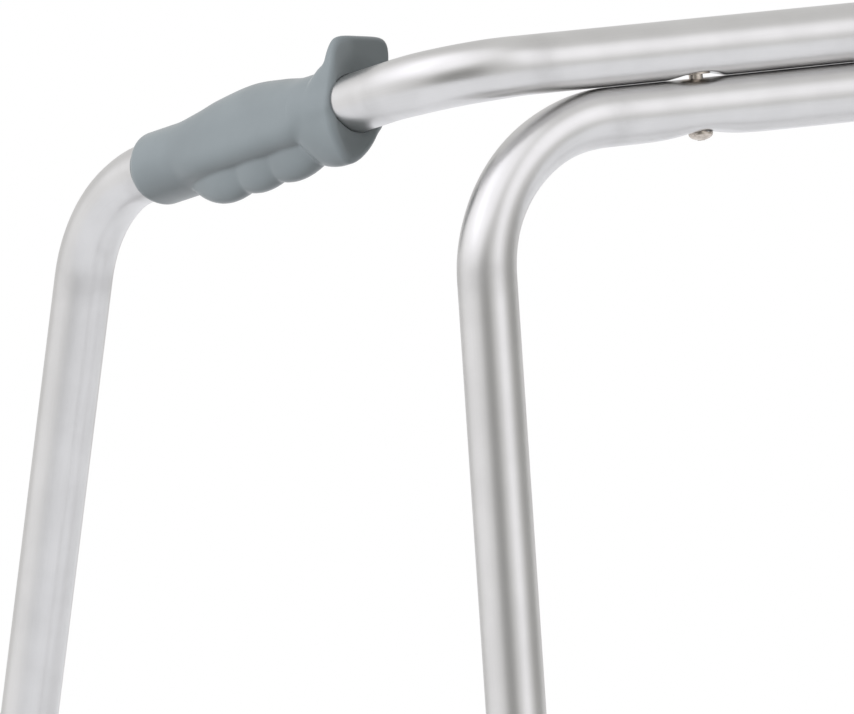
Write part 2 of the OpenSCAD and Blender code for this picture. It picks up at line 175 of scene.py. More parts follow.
@dataclass(frozen=True)
class Finish:
    """A finish: a base colour with fine mottling, roughness and grain.

    Lengths are in metres; noise scales are per metre.
    """

    name: str
    colour: tuple[float, float, float]
    shade: tuple[float, float, float]
    metallic: float = 0.0
    roughness: float = 0.5
    roughness_swing: float = 0.06
    mottle_scale: float = 60.0
    grain_scale: float = 2500.0
    grain_height: float = 2e-6
    specular: float = 0.5

    def build(self) -> bpy.types.Material:
        """Makes the material.

        Returns:
            The material, with its nodes on Object coordinates.
        """
        material = bpy.data.materials.new(self.name)
        material.use_nodes = True
        graph = Graph(material.node_tree)
        self.dress(graph)
        return material

    def dress(self, graph: Graph) -> None:
        """Builds the nodes of the finish."""
        place = graph.wire("ShaderNodeTexCoord", "Object")
        mottle = graph.wire("ShaderNodeTexNoise", 0, None,
                            {"Vector": place, "Scale": self.mottle_scale, "Detail": 4.0})
        grain = graph.wire("ShaderNodeTexNoise", 0, None,
                           {"Vector": place, "Scale": self.grain_scale, "Detail": 2.0})
        colour = mix_colour(graph, self.tone(graph, mottle), (*self.colour, 1), (*self.shade, 1))
        roughness = (mottle - 0.5) * (2 * self.roughness_swing) + self.roughness
        self.close(graph, colour, roughness, grain)

    def tone(self, graph: Graph, mottle: Wire) -> Wire:
        """How far the colour goes towards the shade colour."""
        return mottle.above(0.3, 0.4)

    def close(self, graph: Graph, colour: Wire, roughness: Wire, grain: Wire) -> None:
        """Adds the bump, the shader and the output."""
        bump = graph.wire("ShaderNodeBump", 0, None,
                          {"Height": grain, "Strength": 1.0, "Distance": self.grain_height})
        shader = graph.wire("ShaderNodeBsdfPrincipled", 0, None, {
            "Base Color": colour, "Roughness": roughness, "Normal": bump,
            "Metallic": self.metallic, "Specular IOR Level": self.specular})
        graph.node("ShaderNodeOutputMaterial", None, {"Surface": shader})


@dataclass(frozen=True)
class TubeFinish(Finish):
    """Satin anodised tube: fine drawn lines along it, and a band of painted shade, a little rougher too,
    where a bend starts.
    """

    bend_shade_depth: float = 0.75
    drawn_scale: tuple[float, float] = (2600.0, 30.0)

    def dress(self, graph: Graph) -> None:
        """Builds the nodes; the tube's own UV runs round it and along it, in metres."""
        round_and_along = graph.wire("ShaderNodeUVMap", 0, {"uv_map": "tube"})
        drawn_place = graph.wire("ShaderNodeMapping", 0, None,
                                 {"Vector": round_and_along, "Scale": (*self.drawn_scale, 1.0)})
        drawn = graph.wire("ShaderNodeTexNoise", 0, None,
                           {"Vector": drawn_place, "Scale": 1.0, "Detail": 3.0})
        place = graph.wire("ShaderNodeTexCoord", "Object")
        mottle = graph.wire("ShaderNodeTexNoise", 0, None,
                            {"Vector": place, "Scale": self.mottle_scale, "Detail": 4.0})
        # Painted shade: at each bend's end the colour is darkened, in patches, towards the shade colour,
        # and the roughness is raised a little.
        mark = graph.wire("ShaderNodeAttribute", "Fac", {"attribute_name": "bend_mark"})
        painted_bend_shade = mark * mottle.above(0.2, 0.5) * self.bend_shade_depth
        tone = (drawn * 0.4 + mottle.above(0.3, 0.4) * 0.4 + painted_bend_shade).clamped()
        colour = mix_colour(graph, tone, (*self.colour, 1), (*self.shade, 1))
        swing = 2 * self.roughness_swing
        roughness = (mottle - 0.5) * swing + (drawn - 0.5) * swing + painted_bend_shade * 0.08 + self.roughness
        self.close(graph, colour, roughness, drawn)


ANODISED = TubeFinish("anodised_tube", (0.70, 0.695, 0.69), (0.60, 0.595, 0.59), metallic=1.0,
                      roughness=0.30, roughness_swing=0.02, mottle_scale=45.0, grain_height=1.5e-6)
BRIGHT_TUBE = TubeFinish("extension_tube", (0.74, 0.735, 0.73), (0.62, 0.62, 0.62), metallic=1.0,
                         roughness=0.24, roughness_swing=0.03, mottle_scale=60.0, grain_height=2e-6)
VINYL = Finish("grip_vinyl", (0.142, 0.161, 0.164), (0.127, 0.144, 0.147), roughness=0.30,
               roughness_swing=0.05, mottle_scale=25.0, grain_scale=1400.0, grain_height=1.2e-5,
               specular=0.45)
ZINC = Finish("bright_zinc", (0.66, 0.60, 0.54), (0.50, 0.45, 0.40), metallic=1.0, roughness=0.24,
              roughness_swing=0.08, mottle_scale=400.0, grain_scale=4000.0)
SPRING_STEEL = Finish("spring_steel", (0.50, 0.50, 0.51), (0.34, 0.34, 0.36), metallic=1.0,
                      roughness=0.34, mottle_scale=300.0, grain_scale=4000.0)
GREY_PLASTIC = Finish("grey_plastic", (0.20, 0.215, 0.22), (0.165, 0.18, 0.185), roughness=0.45,
                      mottle_scale=60.0, grain_scale=2200.0, grain_height=8e-6)
DARK_PLASTIC = Finish("dark_plastic", (0.045, 0.048, 0.05), (0.03, 0.032, 0.034), roughness=0.5,
                      mottle_scale=80.0, grain_scale=2200.0, grain_height=8e-6)
RUBBER = Finish("grey_rubber", (0.115, 0.118, 0.12), (0.075, 0.078, 0.08), roughness=0.72,
                roughness_swing=0.1, mottle_scale=70.0, grain_scale=1600.0, grain_height=1.5e-5,
                specular=0.3)


class Paintbox:
    """Makes each material once, when it is first asked for."""

    def __init__(self) -> None:
        """Starts with no materials."""
        self.made: dict[str, bpy.types.Material] = {}

    def paint(self, thing: bpy.types.Object, finish: Finish) -> None:
        """Puts a finish on an object.

        Args:
            thing: the object; its material slots are replaced.
            finish: the finish to use.
        """
        if finish.name not in self.made:
            self.made[finish.name] = finish.build()
        thing.data.materials.clear()
        thing.data.materials.append(self.made[finish.name])


# ---------------------------------------------------------------- surfaces


def unit(v: np.ndarray) -> np.ndarray:
    """Vectors along the last axis, at length 1."""
    return v / np.linalg.norm(v, axis=-1, keepdims=True)


def grid_quads(rows: int, cols: int, close_rows: bool = False) -> np.ndarray:
    """Quads of a grid whose columns wrap round; rows wrap too if close_rows.

    Args:
        rows: number of rings.
        cols: points in each ring.
        close_rows: joins the last ring to the first.

    Returns:
        Array of four indices for each quad.
    """
    last = rows if close_rows else rows - 1
    i, j = np.meshgrid(np.arange(last), np.arange(cols), indexing="ij")
    up = (i + 1) % rows
    right = (j + 1) % cols
    return np.stack([i * cols + j, i * cols + right, up * cols + right, up * cols + j], -1).reshape(-1, 4)


def make_mesh(name: str, verts: np.ndarray, quads: np.ndarray) -> bpy.types.Object:
    """Makes an object at the origin from arrays of points and quads.

    Args:
        name: the object's name.
        verts: points in metres.
        quads: four indices for each face.

    Returns:
        The object, linked to the scene and smooth shaded.
    """
    mesh = bpy.data.meshes.new(name)
    mesh.vertices.add(len(verts))
    mesh.vertices.foreach_set("co", np.asarray(verts, dtype=np.float32).ravel())
    mesh.loops.add(quads.size)
    mesh.loops.foreach_set("vertex_index", quads.astype(np.int32).ravel())
    mesh.polygons.add(len(quads))
    mesh.polygons.foreach_set("loop_start", np.arange(0, quads.size, 4, dtype=np.int32))
    mesh.polygons.foreach_set("use_smooth", np.ones(len(quads), dtype=bool))
    mesh.update(calc_edges=True)
    mesh.validate()
    thing = bpy.data.objects.new(name, mesh)
    bpy.context.scene.collection.objects.link(thing)
    return thing


def sharpen(thing: bpy.types.Object, degrees: float) -> None:
    """Marks edges that turn by more than an angle as sharp."""
    thing.data.set_sharp_from_angle(angle=math.radians(degrees))


@dataclass(frozen=True)
class Axes:
    """A right-handed frame: an origin and three unit directions."""

    origin: np.ndarray
    x: np.ndarray
    y: np.ndarray
    z: np.ndarray

    @staticmethod
    def along(origin: np.ndarray, z: np.ndarray, near_x: np.ndarray) -> "Axes":
        """Frame with Z along z and X as near to near_x as it can be."""
        zz = unit(np.asarray(z, float))
        yy = unit(np.cross(zz, near_x))
        return Axes(np.asarray(origin, float), np.cross(yy, zz), yy, zz)

    def at(self, x: np.ndarray, y: np.ndarray, z: np.ndarray) -> np.ndarray:
        """Points of the frame, in the row frame."""
        return (self.origin + x[..., None] * self.x + y[..., None] * self.y + z[..., None] * self.z)


def toward(azimuth: float, elevation: float) -> np.ndarray:
    """Direction at an azimuth and an elevation in radians; at azimuth 0 it is -Y."""
    level = math.cos(elevation)
    return np.array([math.sin(azimuth) * level, -math.cos(azimuth) * level, math.sin(elevation)])


def place_on(thing: bpy.types.Object, axes: Axes) -> None:
    """Puts a light or camera on a frame; it looks along the frame's -Z."""
    columns = [*axes.x, 0], [*axes.y, 0], [*axes.z, 0], [*axes.origin, 1]
    thing.matrix_world = Matrix(np.array(columns).T.tolist())
    bpy.context.scene.collection.objects.link(thing)


def rounded(corners: list[tuple[float, float, float]], steps: int = 5) -> np.ndarray:
    """A closed profile with rounded corners.

    Each corner is replaced by points on the quadratic curve that leaves one side and joins the
    next, at the corner's own distance from it.

    Args:
        corners: (radius, height, rounding) of each corner, in order round the section.
        steps: points on each rounded corner.

    Returns:
        Array of (radius, height).
    """
    points = np.array([c[:2] for c in corners])
    reach = np.array([c[2] for c in corners])[:, None]
    before = unit(np.roll(points, 1, 0) - points) * reach + points
    after = unit(np.roll(points, -1, 0) - points) * reach + points
    t = np.linspace(0, 1, steps)[:, None]
    curves = [(1 - t) ** 2 * b + 2 * t * (1 - t) * p + t ** 2 * a if r > 0 else p[None]
              for b, p, a, r in zip(before, points, after, reach[:, 0])]
    return np.concatenate(curves)


def turned(name: str, axes: Axes, profile: np.ndarray, segments: int = 72,
           shape: Callable[[np.ndarray, np.ndarray], np.ndarray] | None = None) -> bpy.types.Object:
    """A ring turned about an axis from a closed profile that runs anticlockwise in (radius, height).

    Args:
        name: the object's name.
        axes: the frame whose Z is the axis.
        profile: closed outline of (radius, height), in metres.
        segments: steps round the axis.
        shape: optional change to the local points, given them and the angle.

    Returns:
        The object.
    """
    angle = np.linspace(0, 2 * math.pi, segments, endpoint=False)[:, None]
    local = np.stack(np.broadcast_arrays(
        profile[:, 0] * np.cos(angle), profile[:, 0] * np.sin(angle), profile[:, 1] + 0 * angle), -1)
    if shape is not None:
        local = shape(local, angle)
    verts = axes.at(local[..., 0], local[..., 1], local[..., 2]).reshape(-1, 3)
    thing = make_mesh(name, verts, grid_quads(segments, len(profile), close_rows=True))
    sharpen(thing, 50)
    return thing


# ---------------------------------------------------------------- bent tubes


@dataclass(frozen=True)
class Stations:
    """Points along a tube's centre line, as arrays with one row for each station."""

    place: np.ndarray
    ahead: np.ndarray
    across: np.ndarray
    inward: np.ndarray
    flattening: np.ndarray
    mark: np.ndarray
    run: np.ndarray


@dataclass
class CentreLine:
    """A path of straight runs joined by circular bends."""

    corners: np.ndarray
    bends: list[float]
    step: float = 10 * MM
    bend_step: float = math.radians(2.5)
    fine: list[tuple[np.ndarray, float]] = field(default_factory=list)
    fine_step: float = 0.8 * MM
    bend_shade_width: float = 6 * MM
    flatten_share: float = 0.3
    first_side: tuple[float, float, float] = (0.3, 0.9, 0.3)

    def stations(self) -> Stations:
        """Works out the stations of every run and bend.

        In a bend the centre line turns about the bend's centre and the cross direction is carried
        round by Rodrigues' rotation formula. The tube flattens in a bend, rising smoothly from
        nothing at the bend's ends, and carries a band of painted shade at the bend's ends.

        Returns:
            The stations in order.
        """
        heading = unit(np.diff(self.corners, axis=0))
        turn = np.arccos(np.clip((heading[:-1] * heading[1:]).sum(1), -1, 1))
        trim = np.concatenate([[0], np.array(self.bends) * np.tan(turn / 2), [0]])
        across = unit(np.cross(heading[0], self.first_side))
        parts = []
        for i, ahead in enumerate(heading):
            start = self.corners[i] + ahead * trim[i]
            end = self.corners[i + 1] - ahead * trim[i + 1]
            parts.append(self._run(start, end, ahead, across, i > 0, i < len(heading) - 1))
            if i < len(heading) - 1:
                bend, across = self._bend(end, ahead, heading[i + 1], across, self.bends[i])
                parts.append(bend)
        arrays = [np.concatenate(group) for group in zip(*parts)]
        step = np.linalg.norm(np.diff(arrays[0], axis=0), axis=1)
        return Stations(*arrays, run=np.concatenate([[0], np.cumsum(step)]))

    def _run(self, start: np.ndarray, end: np.ndarray, ahead: np.ndarray, across: np.ndarray,
             bend_before: bool, bend_after: bool) -> tuple[np.ndarray, ...]:
        """Stations of a straight run, closer together near the fine places on it."""
        length = float(np.linalg.norm(end - start))
        s = np.linspace(0, length, max(int(length / self.step), 3))
        for centre, reach in self.fine:
            off = (centre - start) @ ahead
            if np.linalg.norm(centre - start - off * ahead) < reach and 0 < off < length:
                extra = np.arange(max(off - reach, 0), min(off + reach, length), self.fine_step)
                s = np.concatenate([s, extra])
        s = np.unique(np.round(s, 6))
        s = s[int(bend_before):len(s) - int(bend_after)]
        far = np.full(len(s), np.inf)
        near = np.minimum(s if bend_before else far, length - s if bend_after else far)
        # The band of painted shade fades along the run from each bend's end.
        mark = np.exp(-(near / self.bend_shade_width) ** 2)
        ones = np.ones((len(s), 1))
        return (start + s[:, None] * ahead, ones * ahead, ones * across, ones * across,
                np.zeros(len(s)), mark)

    def _bend(self, start: np.ndarray, ahead: np.ndarray, onward: np.ndarray, across: np.ndarray,
              radius: float) -> tuple[tuple[np.ndarray, ...], np.ndarray]:
        """Stations of a bend, and the cross direction at its end."""
        inward = unit(onward - ahead * (ahead @ onward))
        axis = np.cross(ahead, inward)
        turn = math.acos(float(np.clip(ahead @ onward, -1, 1)))
        angle = np.linspace(0, turn, int(turn / self.bend_step) + 2)[:, None]
        sin, cos = np.sin(angle), np.cos(angle)
        place = start + radius * (sin * ahead + (1 - cos) * inward)
        along_axis = axis * (across @ axis)
        carried = across * cos + np.cross(axis, across) * sin + along_axis * (1 - cos)
        share = angle[:, 0] / turn
        near = np.minimum(share, 1 - share)
        flattening = np.sin(np.clip(near / self.flatten_share, 0, 1) * math.pi / 2) ** 2
        edge = near * turn * radius
        return ((place, cos * ahead + sin * inward, carried, cos * inward - sin * ahead,
                 flattening, np.exp(-(edge / self.bend_shade_width) ** 2)), carried[-1])


@dataclass
class BentTube:
    """A tube swept along a centre line, with flattened bends, pressed dents and drilled holes."""

    name: str
    line: CentreLine
    radius: float
    wall: float = 1.5 * MM
    flatten: float = 0.055
    widen: float = 0.5
    sharp_angle: float = 35
    segments: int = 96
    dents: list[Callable[[np.ndarray], np.ndarray]] = field(default_factory=list)
    holes: list[tuple[np.ndarray, np.ndarray, float, float]] = field(default_factory=list)

    def surface(self, stations: Stations, radius: float) -> np.ndarray:
        """Rings of points at a radius round the centre line.

        Each ring is a circle that is squeezed towards the inside of the bend by the flattening
        and widened across it by a share of that.

        Args:
            stations: the centre line's stations.
            radius: distance from the centre line.

        Returns:
            Array of rings of points.
        """
        angle = np.linspace(0, 2 * math.pi, self.segments, endpoint=False)[None, :, None]
        up = np.cross(stations.ahead, stations.across)
        spoke = radius * (np.cos(angle) * stations.across[:, None] + np.sin(angle) * up[:, None])
        side = np.cross(stations.ahead, stations.inward)
        squeeze = (self.flatten * stations.flattening)[:, None, None]
        in_part = (spoke * stations.inward[:, None]).sum(-1, keepdims=True)
        side_part = (spoke * side[:, None]).sum(-1, keepdims=True)
        spoke = (spoke - squeeze * in_part * stations.inward[:, None]
                 + self.widen * squeeze * side_part * side[:, None])
        points = stations.place[:, None] + spoke
        for dent in self.dents:
            points = dent(points)
        return points

    def build(self) -> bpy.types.Object:
        """Makes the tube as one closed shell with its bore, then drills its holes.

        Returns:
            The object, with its UV map in metres and the bands of painted shade at its bend ends.
        """
        stations = self.line.stations()
        outside = self.surface(stations, self.radius)
        inside = self.surface(stations, self.radius - self.wall)[::-1]
        rings = np.concatenate([outside, inside])
        thing = make_mesh(self.name, rings.reshape(-1, 3),
                          grid_quads(len(rings), self.segments, close_rows=True))
        self._map(thing, stations)
        if self.holes:
            self._drill(thing)
        sharpen(thing, self.sharp_angle)
        return thing

    def _map(self, thing: bpy.types.Object, stations: Stations) -> None:
        """Writes the UV map, which runs round and along the tube, and the bands of painted shade at the
        bend ends.
        """
        run = np.concatenate([stations.run, stations.run[::-1]])
        mark = np.concatenate([stations.mark, stations.mark[::-1]])
        count = len(run)
        layer = thing.data.uv_layers.new(name="tube")
        quads = grid_quads(count, self.segments, close_rows=True)
        ring, spot = quads // self.segments, quads % self.segments
        wraps = (quads[:, 1] % self.segments) == 0
        spot = spot.astype(float)
        spot[wraps, 1] = self.segments
        spot[wraps, 2] = self.segments
        girth = 2 * math.pi * self.radius / self.segments
        uv = np.stack([spot * girth, run[ring]], -1)
        layer.data.foreach_set("uv", uv.reshape(-1).astype(np.float32))
        attribute = thing.data.attributes.new("bend_mark", "FLOAT", "POINT")
        attribute.data.foreach_set("value", np.repeat(mark, self.segments).astype(np.float32))

    def _drill(self, thing: bpy.types.Object) -> None:
        """Cuts every hole: each is a place, a direction, a radius and a depth."""
        cutters = [turned_rod("drill", place, direction, radius, depth)
                   for place, direction, radius, depth in self.holes]
        drill = join(cutters, "drill")
        cut = thing.modifiers.new("holes", "BOOLEAN")
        cut.operation = "DIFFERENCE"
        cut.solver = "EXACT"
        cut.object = drill
        bake_modifiers(thing)
        bpy.data.objects.remove(drill)


def turned_rod(name: str, place: np.ndarray, direction: np.ndarray, radius: float, depth: float,
               segments: int = 40) -> bpy.types.Object:
    """A closed rod from a place along a direction, as one grid whose end rings shrink to points."""
    axes = Axes.along(place, direction, np.array([0.31, 0.42, 0.85]))
    r = np.array([1e-7, radius, radius, 1e-7])
    h = np.array([0, 0, depth, depth])
    angle = np.linspace(0, 2 * math.pi, segments, endpoint=False)
    verts = axes.at(r[:, None] * np.cos(angle), r[:, None] * np.sin(angle), h[:, None] + 0 * angle)
    thing = make_mesh(name, verts.reshape(-1, 3), grid_quads(4, segments))
    weld(thing)
    return thing


def weld(thing: bpy.types.Object, gap: float = 1e-5) -> None:
    """Merges points closer than a gap and turns every face outwards."""
    work = bmesh.new()
    work.from_mesh(thing.data)
    bmesh.ops.remove_doubles(work, verts=work.verts, dist=gap)
    bmesh.ops.recalc_face_normals(work, faces=work.faces)
    work.to_mesh(thing.data)
    work.free()


def join(things: list[bpy.types.Object], name: str) -> bpy.types.Object:
    """Joins objects into one and names it."""
    with bpy.context.temp_override(active_object=things[0], selected_editable_objects=things):
        bpy.ops.object.join()
    things[0].name = name
    things[0].data.name = name
    return things[0]


def bake_modifiers(thing: bpy.types.Object) -> None:
    """Replaces an object's mesh by its evaluated mesh and clears its modifiers."""
    graph = bpy.context.evaluated_depsgraph_get()
    mesh = bpy.data.meshes.new_from_object(thing.evaluated_get(graph))
    thing.modifiers.clear()
    thing.data = mesh


# ---------------------------------------------------------------- the frame's own geometry


@dataclass(frozen=True)
class Leg:
    """One leg's axis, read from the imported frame."""

    row: Row
    side: Side
    foot: np.ndarray
    down: np.ndarray

    @property
    def tag(self) -> str:
        """The ending of the leg's node names."""
        return f"{self.row.value}_{self.side.name.lower()}"

    @property
    def axes(self) -> Axes:
        """Frame with its origin on the floor, Z up the leg and X out sideways."""
        return Axes.along(self.foot, -self.down, np.array([float(self.side.value), 0, 0]))

    def at_height(self, height: float) -> np.ndarray:
        """Point of the leg's axis at a height above the floor."""
        return self.foot + self.down * (height - self.foot[2]) / self.down[2]

    def up_leg(self, distance: float) -> np.ndarray:
        """Point of the leg's axis at a distance from the floor along it."""
        return self.foot - self.down * distance


@dataclass
class Layout:
    """Where the frame's tubes run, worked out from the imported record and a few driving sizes."""

    record: dict
    tube_radius: float = 12.7 * MM
    brace_radius: float = 9.5 * MM
    rail_half: float = 185 * MM
    side_length: float = 245 * MM
    side_slope: float = math.radians(10)
    hoop_drop: float = 25.5 * MM
    outer_end: float = 120 * MM
    rest_hole: float = 222 * MM
    hole_pitch: float = 20 * MM
    holes_above: int = 2
    holes_below: int = 4
    hole_radius: float = 4.3 * MM
    hole_reach: float = 16 * MM

    def __post_init__(self) -> None:
        """Reads the legs and places the corners."""
        soles = {m["name"]: np.array(m["pos_m"]) for m in self.record["mounts"]}
        joints = {j["name"]: np.array(j["axis"]) for j in self.record["behaviour"]["joints"]}
        self.legs = {
            (row, side): Leg(row, side, soles[f"sole_{row.value}_{side.name.lower()}"],
                             unit(joints[f"height_{row.value}_{side.name.lower()}"]))
            for row in Row for side in Side}
        low, high = (np.array(corner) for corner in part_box("rail_screws"))
        self.rail_y = float((low[1] + high[1]) / 2)
        self.rail_z = float(np.array(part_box("top_rail")[1])[2]) - self.tube_radius

    def front_corner(self, side: Side) -> np.ndarray:
        """Front corner of the top rail's axis."""
        return np.array([side.value * self.rail_half, self.rail_y, self.rail_z])

    def rear_corner(self, side: Side) -> np.ndarray:
        """Rear corner of the top rail's axis, where the hand rail meets the rear leg."""
        drop = self.side_length * math.sin(self.side_slope)
        return self.legs[Row.REAR, side].at_height(self.rail_z - drop)

    def hoop_corner(self, side: Side) -> np.ndarray:
        """Upper corner of the front hoop's axis."""
        return self.legs[Row.FRONT, side].at_height(self.rail_z - self.hoop_drop)

    def height_holes(self, row: Row) -> list[tuple[np.ndarray, np.ndarray, float, float]]:
        """Places, directions, radii and depths of the height holes in one pair of legs."""
        holes = []
        for side in Side:
            leg = self.legs[row, side]
            for step in range(-self.holes_below, self.holes_above + 1):
                place = leg.up_leg(self.rest_hole + step * self.hole_pitch)
                holes.append((place, leg.axes.x, self.hole_radius, self.hole_reach))
        return holes


# ---------------------------------------------------------------- sub-assemblies


@dataclass
class Rails:
    """The top rail, the front hoop and the lower brace."""

    layout: Layout
    paints: Paintbox
    corner_bend: float = 51 * MM
    rear_bend: float = 63 * MM
    hoop_bend: float = 68 * MM
    brace_bend: float = 42 * MM
    rail_dimple: float = 3.4 * MM
    rail_dimple_ball: float = 26.5 * MM
    hoop_dimple: float = 2.1 * MM
    hoop_dimple_reach: float = 15 * MM
    seat_depth: float = 0.8 * MM
    seat_reach: float = 8 * MM
    dent_blend: float = 0.35 * MM
    ball_reach: float = 22 * MM
    pull_reach: float = 45 * MM
    screw_x: float = 65 * MM

    def screw_places(self, height: float) -> list[np.ndarray]:
        """Points on the rails' middle plane above each screw."""
        return [np.array([s.value * self.screw_x, self.layout.rail_y, height]) for s in Side]

    def ball_dent(self, axis_z: float) -> Callable[[np.ndarray], np.ndarray]:
        """Dent under the top rail at each screw.

        The skin rises to a paraboloid that has the ball's curvature at its top, and the two
        surfaces meet by a smooth maximum.

        Args:
            axis_z: height of the rail's axis.

        Returns:
            A function that moves points.
        """
        def press(points: np.ndarray) -> np.ndarray:
            """Raises the points under the rail."""
            out = points.copy()
            for centre in self.screw_places(axis_z):
                flat = ((points[..., :2] - centre[:2]) ** 2).sum(-1)
                depth = (centre[2] - points[..., 2]) / self.layout.tube_radius
                top = centre[2] - self.layout.tube_radius + self.rail_dimple
                bowl = top - flat / (2 * self.rail_dimple_ball)
                soft = self.dent_blend
                gap = bowl - out[..., 2]
                lift = soft * np.logaddexp(0, gap / soft) - soft * np.logaddexp(0, -3.0)
                near = (flat < self.ball_reach ** 2) & (depth > 0.2)
                out[..., 2] += np.where(near, np.maximum(lift, 0), 0)
            return out
        return press

    def pulled_dent(self, axis_z: float) -> Callable[[np.ndarray], np.ndarray]:
        """Long shallow dent under the hoop at each screw.

        The skin rises by a bell curve along the tube and a small round seat at the screw, times
        the cube of the share of the radius that it lies below the axis.

        Args:
            axis_z: height of the hoop's axis.

        Returns:
            A function that moves points.
        """
        def press(points: np.ndarray) -> np.ndarray:
            """Raises the points under the hoop."""
            out = points.copy()
            for centre in self.screw_places(axis_z):
                along = points[..., 0] - centre[0]
                below = np.clip((centre[2] - points[..., 2]) / self.layout.tube_radius, 0, 1)
                bell = np.exp(-(along / self.hoop_dimple_reach) ** 2)
                off = points[..., 1] - centre[1]
                seat = self.seat_depth * np.exp(-(along ** 2 + off ** 2) / self.seat_reach ** 2)
                near = np.abs(along) < self.pull_reach
                out[..., 2] += np.where(near, (self.hoop_dimple * bell + seat) * below ** 3, 0)
            return out
        return press

    def build(self) -> None:
        """Makes the three tubes."""
        lay = self.layout
        right, left = Side.RIGHT, Side.LEFT
        rear = [lay.legs[Row.REAR, s].up_leg(lay.outer_end) for s in (right, left)]
        front = [lay.legs[Row.FRONT, s].up_leg(lay.outer_end) for s in (right, left)]
        rail = np.array([rear[0], lay.rear_corner(right), lay.front_corner(right),
                         lay.front_corner(left), lay.rear_corner(left), rear[1]])
        hoop = np.array([front[0], lay.hoop_corner(right), lay.hoop_corner(left), front[1]])
        hoop_z = lay.rail_z - lay.hoop_drop
        fine = [(place, 24 * MM) for place in self.screw_places(lay.rail_z)]
        bends = [self.rear_bend, self.corner_bend, self.corner_bend, self.rear_bend]
        tube = BentTube("top_rail_tube", CentreLine(rail, bends, fine=fine), lay.tube_radius,
                        dents=[self.ball_dent(lay.rail_z)], holes=lay.height_holes(Row.REAR))
        self._finish(tube, "top_rail")
        fine = [(place, self.pull_reach) for place in self.screw_places(hoop_z)]
        line = CentreLine(hoop, [self.hoop_bend] * 2, fine=fine, fine_step=2 * MM)
        tube = BentTube("front_hoop_tube", line, lay.tube_radius, dents=[self.pulled_dent(hoop_z)],
                        holes=lay.height_holes(Row.FRONT))
        self._finish(tube, "front_hoop")
        low, high = (np.array(c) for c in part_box("lower_brace"))
        r = lay.brace_radius
        brace = np.array([[low[0] + r, high[1], low[2] + r], [low[0] + r, low[1] + r, low[2] + r],
                          [high[0] - r, low[1] + r, low[2] + r], [high[0] - r, high[1], low[2] + r]])
        tube = BentTube("lower_brace_tube", CentreLine(brace, [self.brace_bend] * 2), r, segments=72)
        self._finish(tube, "lower_brace")

    def _finish(self, tube: BentTube, node: str) -> None:
        """Builds, paints and places one tube for the node it replaces."""
        thing = tube.build()
        self.paints.paint(thing, ANODISED)
        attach(thing, "frame")
        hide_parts(node)
        log.info("%s: %d faces", thing.name, len(thing.data.polygons))


def smooth(value: np.ndarray, low: float, high: float) -> np.ndarray:
    """Smooth step from 0 at low to 1 at high."""
    t = np.clip((value - low) / (high - low), 0, 1)
    return t * t * (3 - 2 * t)


def flow(points: list[tuple[float, float]], at: np.ndarray) -> np.ndarray:
    """A curve through points that never overshoots between them.

    Each span is a cubic whose end slopes are the harmonic mean of the slopes on either side, or
    level where those slopes change sign.

    Args:
        points: (place, value) pairs in order, in millimetres.
        at: places in metres.

    Returns:
        The curve's values in metres.
    """
    x, y = np.array(points, float).T * MM
    rise = np.diff(y) / np.diff(x)
    both = rise[:-1] * rise[1:]
    mean = 2 * both / np.where(both > 0, rise[:-1] + rise[1:], 1)
    slope = np.concatenate([[rise[0]], np.where(both > 0, mean, 0), [rise[-1]]])
    i = np.clip(np.searchsorted(x, at, side="right") - 1, 0, len(x) - 2)
    span = x[i + 1] - x[i]
    t = np.clip((at - x[i]) / span, 0, 1)
    rest = 1 - t
    return (y[i] * (1 + 2 * t) * rest ** 2 + y[i + 1] * (3 - 2 * t) * t ** 2
            + span * (slope[i] * t * rest ** 2 - slope[i + 1] * rest * t ** 2))


def soft_max(first: np.ndarray, second: np.ndarray, blend: float) -> np.ndarray:
    """The larger of two arrays, with a fillet of about the blend's size where they meet."""
    gap = np.clip(1 - np.abs(first - second) / blend, 0, 1)
    return np.maximum(first, second) + blend * gap ** 2 / 4


